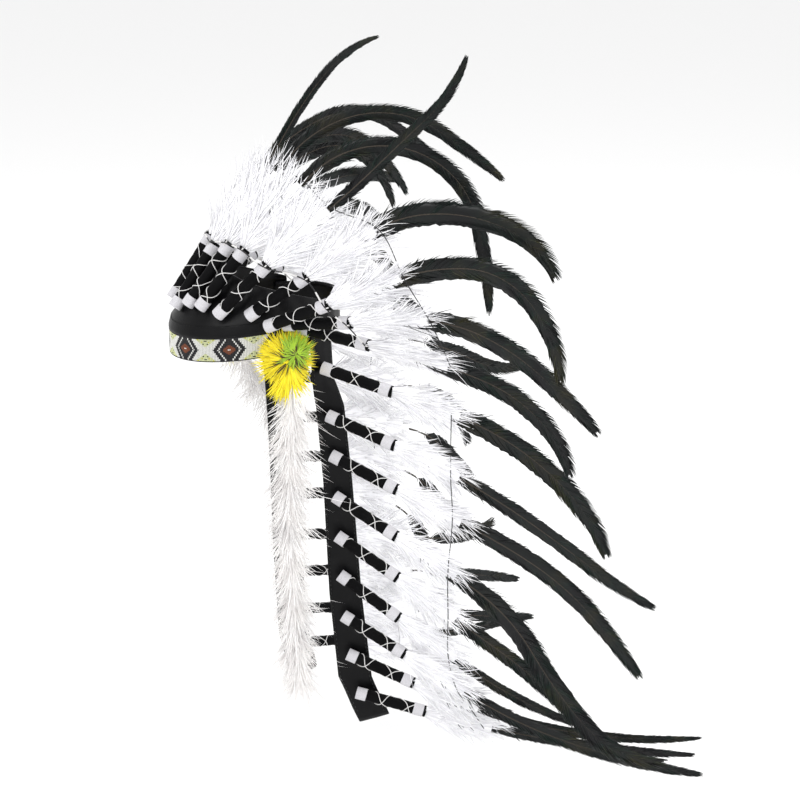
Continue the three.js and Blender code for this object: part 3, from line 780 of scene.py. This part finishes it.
def white_plume(form, route, across, fluff, count):
    """A broad soft plume: a pad that fills it, barbs laid along it and finer ones round its rim."""
    _, direction, _ = route.at(WHITE_START)
    flat = unit(np.cross(direction, across))

    def frame(distance):
        place, direction, _ = route.at(distance)
        facing = unit(flat - direction * np.sum(direction * flat, axis=-1, keepdims=True))
        return place, direction, facing, np.cross(facing, direction)

    length = WHITE_LENGTH * fluff
    parts = np.linspace(0, 0.8, 12)
    place, _, facing, wide = frame(WHITE_START + parts * length)
    half = np.interp(parts, (0, 0.12, 0.35, 0.6, 0.8), (4.5, 12, 20, 18, 6))[:, None, None] * fluff
    turns = np.arange(12) / 12 * 2 * math.pi
    ripple = 1 + 0.12 * np.sin(turns * 5)[None, :, None]
    rings = (place[:, None, :] + half * np.cos(turns)[None, :, None] * wide[:, None, :] * ripple
             + np.minimum(half, 6 + 0 * half) * 0.62 * np.sin(turns)[None, :, None] * facing[:, None, :])
    form.add(rings[:, ::-1], np.array(ring_faces(12, 12)[:-2]), WHITE_FINISH, 0.75)
    for end in (rings[0], rings[-1][::-1]):
        form.add(end, [list(range(12))], WHITE_FINISH, 0.75)

    stem = RANDOM.uniform(0, 0.66, count)
    place, direction, facing, wide = frame(WHITE_START + stem * length)
    reach = np.interp(stem, (0, 0.12, 0.35, 0.66), (4, 12, 19, 15)) * fluff
    lateral = RANDOM.uniform(-1, 1, count)
    above = RANDOM.choice((-1.0, 1.0), count)
    lift = np.sqrt(np.maximum(0.05, 1 - lateral ** 2)) * 4.2 * above
    root = place + wide * (lateral * reach)[:, None] + facing * lift[:, None]
    angle = np.radians(lateral * 24 + RANDOM.normal(0, 8, count))
    aim = unit(direction * np.cos(angle)[:, None] + wide * np.sin(angle)[:, None]
               + facing * (above * RANDOM.uniform(-0.03, 0.14, count))[:, None])
    bend = (wide * (lateral * 0.14)[:, None] - facing * (above * 0.10)[:, None]
            + RANDOM.normal(0, 0.09, (count, 3)))
    # Painted shade: a low tone darkens a barb at random; the pad and the rim barbs below are kept
    # lighter.
    tone = np.clip(0.62 + RANDOM.normal(0, 0.26, count), 0, 1)
    barbs(form, root, aim, bend, RANDOM.uniform(26, 46, count) * fluff,
          RANDOM.uniform(1.2, 2.3, count), facing * above[:, None], WHITE_FINISH, tone, 0.16)

    stem = RANDOM.uniform(0.08, 0.84, count)
    place, direction, facing, wide = frame(WHITE_START + stem * length)
    hand = RANDOM.choice((-1.0, 1.0), count)
    reach = np.interp(stem, (0, 0.12, 0.35, 0.66, 0.84), (3, 9, 16, 13, 5)) * fluff
    root = place + wide * (hand * reach * RANDOM.uniform(0.3, 1.0, count))[:, None]
    angle = np.radians(np.interp(stem, (0, 0.84), (34, 16)) + RANDOM.normal(0, 11, count))
    aim = unit(direction * np.cos(angle)[:, None] + wide * (hand * np.sin(angle))[:, None]
               + facing * RANDOM.normal(0, 0.2, count)[:, None])
    bend = (wide * (hand * RANDOM.uniform(-0.25, 0.2, count))[:, None]
            + RANDOM.normal(0, 0.12, (count, 3)))
    tone = np.clip(0.8 + RANDOM.normal(0, 0.2, count), 0, 1)
    barbs(form, root, aim, bend - point(0, 0, 0.05), RANDOM.uniform(16, 38, count) * fluff,
          RANDOM.uniform(0.6, 1.2, count), facing, WHITE_FINISH, tone, 0.3)


def coque_plume(form, route, row, bare, cup):
    """The dark plume: a quill between two thin vanes with close barbs, ragged and soft at its base."""
    start = WRAP_LENGTH + bare
    length = route.total - start
    distances = np.linspace(start - 30, route.total - 2, 40)
    tube(form, route.at(distances)[0], np.linspace(1.25, 0.25, 40), 5, QUILL_FINISH,
         up=np.cross(route.level, point(0, 0, 1)))

    def frame(part):
        place, direction, upward = route.at(start + part * length)
        swell = np.interp(part, (0, 0.06, 0.2, 0.6, 0.82, 0.93, 1),
                          (0.3, 0.75, 1.0, 0.97, 0.72, 0.4, 0.05))
        return place, direction, upward, np.cross(direction, upward), row["width"] / 2 * swell

    def blade(part, splits):
        place, _, upward, thickness, half = frame(part)
        outer, inner = [], []
        for side in np.linspace(-1, 1, 7):
            notch = splits[0 if side < 0 else 1] * abs(side)
            spread = (half * side * 0.9 * (1 + notch))[:, None]
            cupped = (cup * half * side ** 2)[:, None]
            thin = 0.4 - 0.28 * abs(side)
            outer.append(place + upward * spread + thickness * (cupped + thin))
            inner.append(place + upward * spread + thickness * (cupped - thin))
        shell(form, np.array(outer), np.array(inner), COQUE_FINISH, 0.2)

    stations = 64
    blade(np.linspace(0, 1, stations), RANDOM.normal(0, 0.05, (2, stations)))
    count = int(length / COQUE_SPACING)
    for hand in (-1.0, 1.0):
        part = (np.arange(count) + RANDOM.uniform(-0.3, 0.3, count)) / count
        part = np.clip(part - 0.06 * (1 - part), -0.06, 0.97)
        place, direction, upward, thickness, half = frame(part)
        split = np.interp(part * 22 + RANDOM.uniform(2, 9), np.arange(40), RANDOM.normal(0, 1, 40))
        base = np.interp(part, (-0.06, 0.08, 0.3), (1.0, 0.7, 0.0))
        half = np.maximum(half, 7 * base) * (1 + 0.05 * split) * RANDOM.uniform(0.94, 1.05, count)
        angle = np.radians(np.interp(part, (0, 0.2, 0.8, 1), (46, 40, 32, 20)) + 2 * split
                           + base * RANDOM.normal(0, 13, count))
        reach = half / np.maximum(0.2, np.sin(angle) - 0.16)
        reach = np.minimum(reach, (1 - part) * length + 3)
        reach = reach * (1 + base * RANDOM.uniform(-0.4, 0.35, count))
        face = RANDOM.choice((-1.0, 1.0), count)[:, None]
        off = cup + base * RANDOM.normal(0, 0.45, count) + 0.04 * split
        aside = unit(upward * hand + thickness * off[:, None])
        aim = unit(direction * np.cos(angle)[:, None] + aside * np.sin(angle)[:, None])
        bend = direction * 0.2 - aside * 0.16 + RANDOM.normal(0, 0.015, (count, 3))
        bend = bend + base[:, None] * RANDOM.normal(0, 0.14, (count, 3))
        # The tone sets how much painted sheen a barb shows; the soft base shows less and stays near
        # black.
        tone = np.clip(0.5 - 0.4 * base + 0.25 * split + RANDOM.normal(0, 0.28, count), 0, 1)
        barbs(form, place + thickness * face * 0.32, aim, bend, reach, 1.5 - 0.6 * base,
              thickness * face, COQUE_FINISH, tone, 0.3)


def feather(row, seat, seat_normal, across, fluff, bare, name, mirror, near):
    route = Route(seat, row)
    form = Form()
    wrap(form, route, seat_normal)
    white_plume(form, route, across, fluff, NEAR_BARBS if near else FAR_BARBS)
    coque_plume(form, route, row, bare, RANDOM.normal(0, 0.08))
    if mirror:
        form.mirror()
    materials = (FELT_BLACK, TRIM_WHITE, THREAD_WHITE, PLUME_WHITE, COQUE, QUILL)
    form.piece(f"plume_{name}", materials, "dark_plume", f"feather_{name}")
    return route, seat_normal


def crown_feather(values, name, mirror=False, near=True):
    row = dict(zip(CROWN_COLUMNS, values))
    outward = ring_outward(row["around"])
    drop = -TANGENT_DROP * math.sin(math.radians(row["around"]))
    tangent = point(-outward[1], outward[0], drop)
    direction = wrap_direction(row["heading"], row["slopes"][0])
    across = unit(tangent - direction * np.dot(tangent, direction))
    shingle = FRONT_SHINGLE + (SIDE_SHINGLE - FRONT_SHINGLE) * row["around"] / 90
    across = turned(across, direction, shingle)
    return feather(row, crown_seat(row), outward, across, CROWN_FLUFF, COQUE_BARE, name, mirror, near)


def trail_feather(values, hang, name, mirror=False, near=True):
    row = dict(zip(TRAIL_COLUMNS, values))
    centre, along, outward, _ = trail_frame(row["height"], hang)
    face = centre - along * TRAIL_SEAT_FORWARD + outward * TRAIL_THICK / 2
    seat = seat_on(face, outward, row)
    direction = wrap_direction(row["heading"], row["slopes"][0])
    _, _, upward = Route(seat, row).at(0)
    across = turned(upward, direction, TRAIL_SHINGLE)
    fluff, bare = (TRAIL_FLUFF, COQUE_BARE * TRAIL_FLUFF) if near else (FAR_TRAIL_FLUFF, FAR_COQUE_BARE)
    return feather(row, seat, outward, across, fluff, bare, name, mirror, near)


def rounded(points, steps=9):
    """A smooth line through points."""
    points = np.array([points[0], *points, points[-1]])
    line = []
    for a, b, c, d in zip(points, points[1:], points[2:], points[3:]):
        t = np.linspace(0, 1, steps, endpoint=False)[:, None]
        line.append(0.5 * (2 * b + (c - a) * t + (2 * a - 5 * b + 4 * c - d) * t ** 2
                           + (3 * b - a - 3 * c + d) * t ** 3))
    return np.vstack([*line, points[-1:]])


def lacing(crown, trail, name, mirror=False):
    """The cord that ties the crown's wraps together and the fine threads through the white plumes."""
    form = Form()

    def beside(route, normal, distance, offset):
        place, direction, _ = route.at(distance)
        return place + unit(normal - direction * np.dot(normal, direction)) * offset

    ties = [beside(route, normal, CORD_PLACE, WRAP_RADIUS + 0.8) for route, normal in crown]
    line = rounded(ties)
    tube(form, line, 0.7, 6, 0)
    for start in range(4, len(line) - 4, 9):
        tube(form, line[start:start + 4], 0.95, 6, 1)
    for route, normal in crown:
        for turn in (-1.2, 1.2):
            tube(form, [beside(route, normal, CORD_PLACE + turn + step, WRAP_RADIUS + 0.6)
                        for step in (-2, 0, 2)], 0.8, 6, 1)
    for line, place in ((crown, THREAD_PLACES["crown"]), (trail, THREAD_PLACES["trail"])):
        knots = [beside(route, normal, place, 6) for route, normal in line]
        tube(form, rounded(knots), 0.55, 5, 0)
    if mirror:
        form.mirror()
    form.piece(name, (THREAD_BLACK, THREAD_WHITE), "black_leather")


# The rosette and the drop under it

def rosette(share=1.0):
    """Layers of flat barbs round a centre: yellow outside, green over it, a yellow tuft below."""
    form = Form()
    centre = point(HEAD_WIDTH + GAP + ROSETTE_DEPTH / 2, 0, ROSETTE_HEIGHT)

    def fan(count, low, high, reach, lift, finish, width, middle=(0, 0), tones=(0.3, 1)):
        count = int(count * share)
        turn = np.radians(RANDOM.uniform(low, high, count))
        away = np.stack([np.zeros(count), np.cos(turn), np.sin(turn)], axis=1)
        out = np.tile(point(1, 0, 0), (count, 1))
        rise = RANDOM.uniform(*lift, count)[:, None]
        root = centre + point(0, *middle) + out * rise + away * RANDOM.uniform(0, 7, count)[:, None]
        aim = unit(away + out * RANDOM.uniform(-0.12, 0.25, count)[:, None]
                   + RANDOM.normal(0, 0.1, (count, 3)))
        bend = -out * RANDOM.uniform(0.0, 0.3, count)[:, None] + RANDOM.normal(0, 0.1, (count, 3))
        barbs(form, root, aim, bend, RANDOM.uniform(*reach, count), RANDOM.uniform(*width, count),
              out, finish, RANDOM.uniform(*tones, count), 0.3)

    turns = np.arange(28) / 28 * 2 * math.pi
    rings = []
    for depth, radius in ((-8.3, 5), (-8.0, 16), (-3, 19), (3, 15), (6.5, 5)):
        rings.append(centre + np.stack([np.full(28, depth), radius * np.cos(turns),
                                        radius * np.sin(turns)], axis=1))
    form.add(np.array(rings), np.array(ring_faces(5, 28)[:-2]), 0)
    form.add(rings[0], [list(range(28))[::-1]], 0)
    form.add(rings[-1], [list(range(28))], 0)
    # The tones pick between painted shade and the lit colour of each plume material.
    fan(640, 0, 360, (20, 32), (-6, 0), 0, (1.2, 2.2))
    fan(460, 0, 360, (15, 28), (0, 5), 0, (1.0, 1.9), tones=(0.4, 1))
    fan(60, 60, 330, (14, 27), (3, 7), 2, (0.7, 1.3), tones=(0, 0.6))
    fan(240, 0, 360, (9, 18), (5, 9), 1, (1.0, 1.8), middle=(6, 7))
    fan(120, 20, 120, (14, 26), (5, 8), 1, (1.0, 1.7), middle=(3, 4))
    fan(60, 0, 360, (5, 13), (7, 9), 2, (0.6, 1.1), middle=(6, 4), tones=(0, 1))
    fan(260, 235, 305, (24, 40), (1, 7), 0, (1.2, 2.2), middle=(-1, -6), tones=(0.5, 1))
    return form


def drop_centre(part, drift):
    drifted = np.minimum(1, part / DRIFT_PART)
    return np.stack([DROP_OUT + drift["out"] * drifted,
                     DROP_BACK + drift["back"] * drifted + DROP_SWAY * np.sin(part * DROP_SWAYS),
                     DROP_TOP - DROP_LENGTH * part], axis=-1)


def drop(drift, count):
    """A fluffy tail: a core with long soft barbs that hang down and outwards."""
    form = Form()
    part = np.linspace(0.0, 0.97, 40)
    # The core gets a low tone: painted shade inside the fluff.
    tube(form, drop_centre(part, drift), 5.5 * np.minimum(1, 0.3 + part * 8), 10, 0, 0.3,
         up=point(0, 1, 0))
    part = RANDOM.uniform(-0.01, 0.95, count)
    root = drop_centre(part, drift)
    turn = RANDOM.uniform(0, 2 * math.pi, count)
    away = np.stack([np.cos(turn) * 0.8, np.sin(turn), np.zeros(count)], axis=1)
    clump = 1 + 0.22 * np.sin(part * 46 + np.sin(turn * 2) * 1.3) + 0.1 * np.sin(part * 113)
    aim = unit(away * (0.95 * clump)[:, None] - point(0, 0, 1) + RANDOM.normal(0, 0.2, (count, 3)))
    length = RANDOM.triangular(20, 34, 60, count)
    length = length * np.interp(part, (0, 0.06, 0.9, 0.95), (0.8, 1, 1, 0.9))
    bend = -away * RANDOM.uniform(-0.1, 0.3, count)[:, None] + RANDOM.normal(0, 0.16, (count, 3))
    # Painted shade: the tone darkens the barbs in bands along the drop and at random.
    tone = np.clip(0.55 + 0.3 * np.sin(part * 46 + turn) + RANDOM.normal(0, 0.25, count), 0, 1)
    barbs(form, root, aim, bend, length, RANDOM.uniform(0.8, 1.7, count), away, 0, tone, 0.3)
    return form


browband()
crown_strip()
back_strap()
trail_strip(HANG_LEFT).piece("trail_left_leather", (LEATHER_BLACK, THREAD_BLACK),
                              "black_leather", "trail_left")
trail_strip(HANG_RIGHT).mirror().piece("trail_right_leather", (LEATHER_BLACK, THREAD_BLACK),
                                        "black_leather", "trail_right")
front = crown_feather(FRONT, "front")
crown = [front] + [crown_feather(values, f"crown_left_{index + 1}")
                   for index, values in enumerate(CROWN_LEFT)]
trail = [trail_feather(values, HANG_LEFT, f"trail_left_{index + 1}")
         for index, values in enumerate(TRAIL_LEFT)]
lacing(crown, trail, "lacing_left")
crown = [front] + [crown_feather(values, f"crown_right_{index + 1}", mirror=True, near=False)
                   for index, values in enumerate(CROWN_RIGHT)]
trail = [trail_feather(values, HANG_RIGHT, f"trail_right_{index + 1}", mirror=True, near=False)
         for index, values in enumerate(TRAIL_RIGHT)]
lacing(crown, trail, "lacing_right", mirror=True)
ROSETTE_MATERIALS = (PLUME_YELLOW, PLUME_GREEN, PLUME_BROWN)
rosette().piece("rosette_left_plume", ROSETTE_MATERIALS, "yellow_feather", "rosette_left")
rosette(0.5).mirror().piece("rosette_right_plume", ROSETTE_MATERIALS, "yellow_feather", "rosette_right")
drop(DRIFT_LEFT, NEAR_DROP_BARBS).piece("drop_left_plume", (DROP_WHITE,), "white_plume", "drop_left")
drop(DRIFT_RIGHT, FAR_DROP_BARBS).mirror().piece("drop_right_plume", (DROP_WHITE,),
                                                 "white_plume", "drop_right")


# Floor, light and camera

def floor():
    mesh = bpy.data.meshes.new("floor")
    corners = ((-1, -1), (1, -1), (1, 1), (-1, 1))
    mesh.from_pydata([(x * FLOOR_SIZE, y * FLOOR_SIZE, FLOOR_HEIGHT) for x, y in corners],
                     [], [(0, 1, 2, 3)])
    material, _, _ = nodes_of("floor_pale", (0.9, 0.9, 0.9), 0.9, 0.1)
    mesh.materials.append(material)
    plane = bpy.data.objects.new("floor", mesh)
    bpy.context.scene.collection.objects.link(plane)


def soft_light(name, place, target, size, power):
    light = bpy.data.lights.new(name, "AREA")
    light.shape = "SQUARE"
    light.size = size
    light.energy = power
    lamp = bpy.data.objects.new(name, light)
    lamp.location = place
    lamp.rotation_euler = (Vector(target) - Vector(place)).to_track_quat("-Z", "Y").to_euler()
    bpy.context.scene.collection.objects.link(lamp)


def camera():
    """The photograph's view: from the wearer's left, a little from the front and above."""
    back = Vector((0.86195, -0.40193, 0.30902))
    up = Vector((-0.2801, 0.1306, 0.9511))
    right = Vector((0.4226, 0.9063, 0))
    target = Vector((0.08542, 0.13107, -0.0678))
    lens = bpy.data.cameras.new("camera")
    lens.lens = SENSOR * CAMERA_DISTANCE * 1000 / (PICTURE * PIXEL)
    lens.sensor_width = SENSOR
    lens.clip_end = 100
    eye = bpy.data.objects.new("camera", lens)
    axes = Matrix((right, up, back)).transposed().to_4x4()
    eye.matrix_world = Matrix.Translation(target + back * CAMERA_DISTANCE) @ axes
    bpy.context.scene.collection.objects.link(eye)
    bpy.context.scene.camera = eye


floor()
soft_light("key", (1.6, -1.6, 1.9), (0.05, 0.1, -0.1), 1.8, 36)
soft_light("fill", (2.0, 1.8, 0.9), (0.05, 0.15, -0.1), 2.2, 22)
soft_light("top", (-0.6, 0.4, 2.4), (0.0, 0.1, 0.0), 2.0, 26)
world = bpy.data.worlds.new("studio")
world.use_nodes = True
world.node_tree.nodes["Background"].inputs["Color"].default_value = (1, 1, 1, 1)
world.node_tree.nodes["Background"].inputs["Strength"].default_value = 1.0
bpy.context.scene.world = world
bpy.context.scene.view_settings.view_transform = "Standard"
camera()
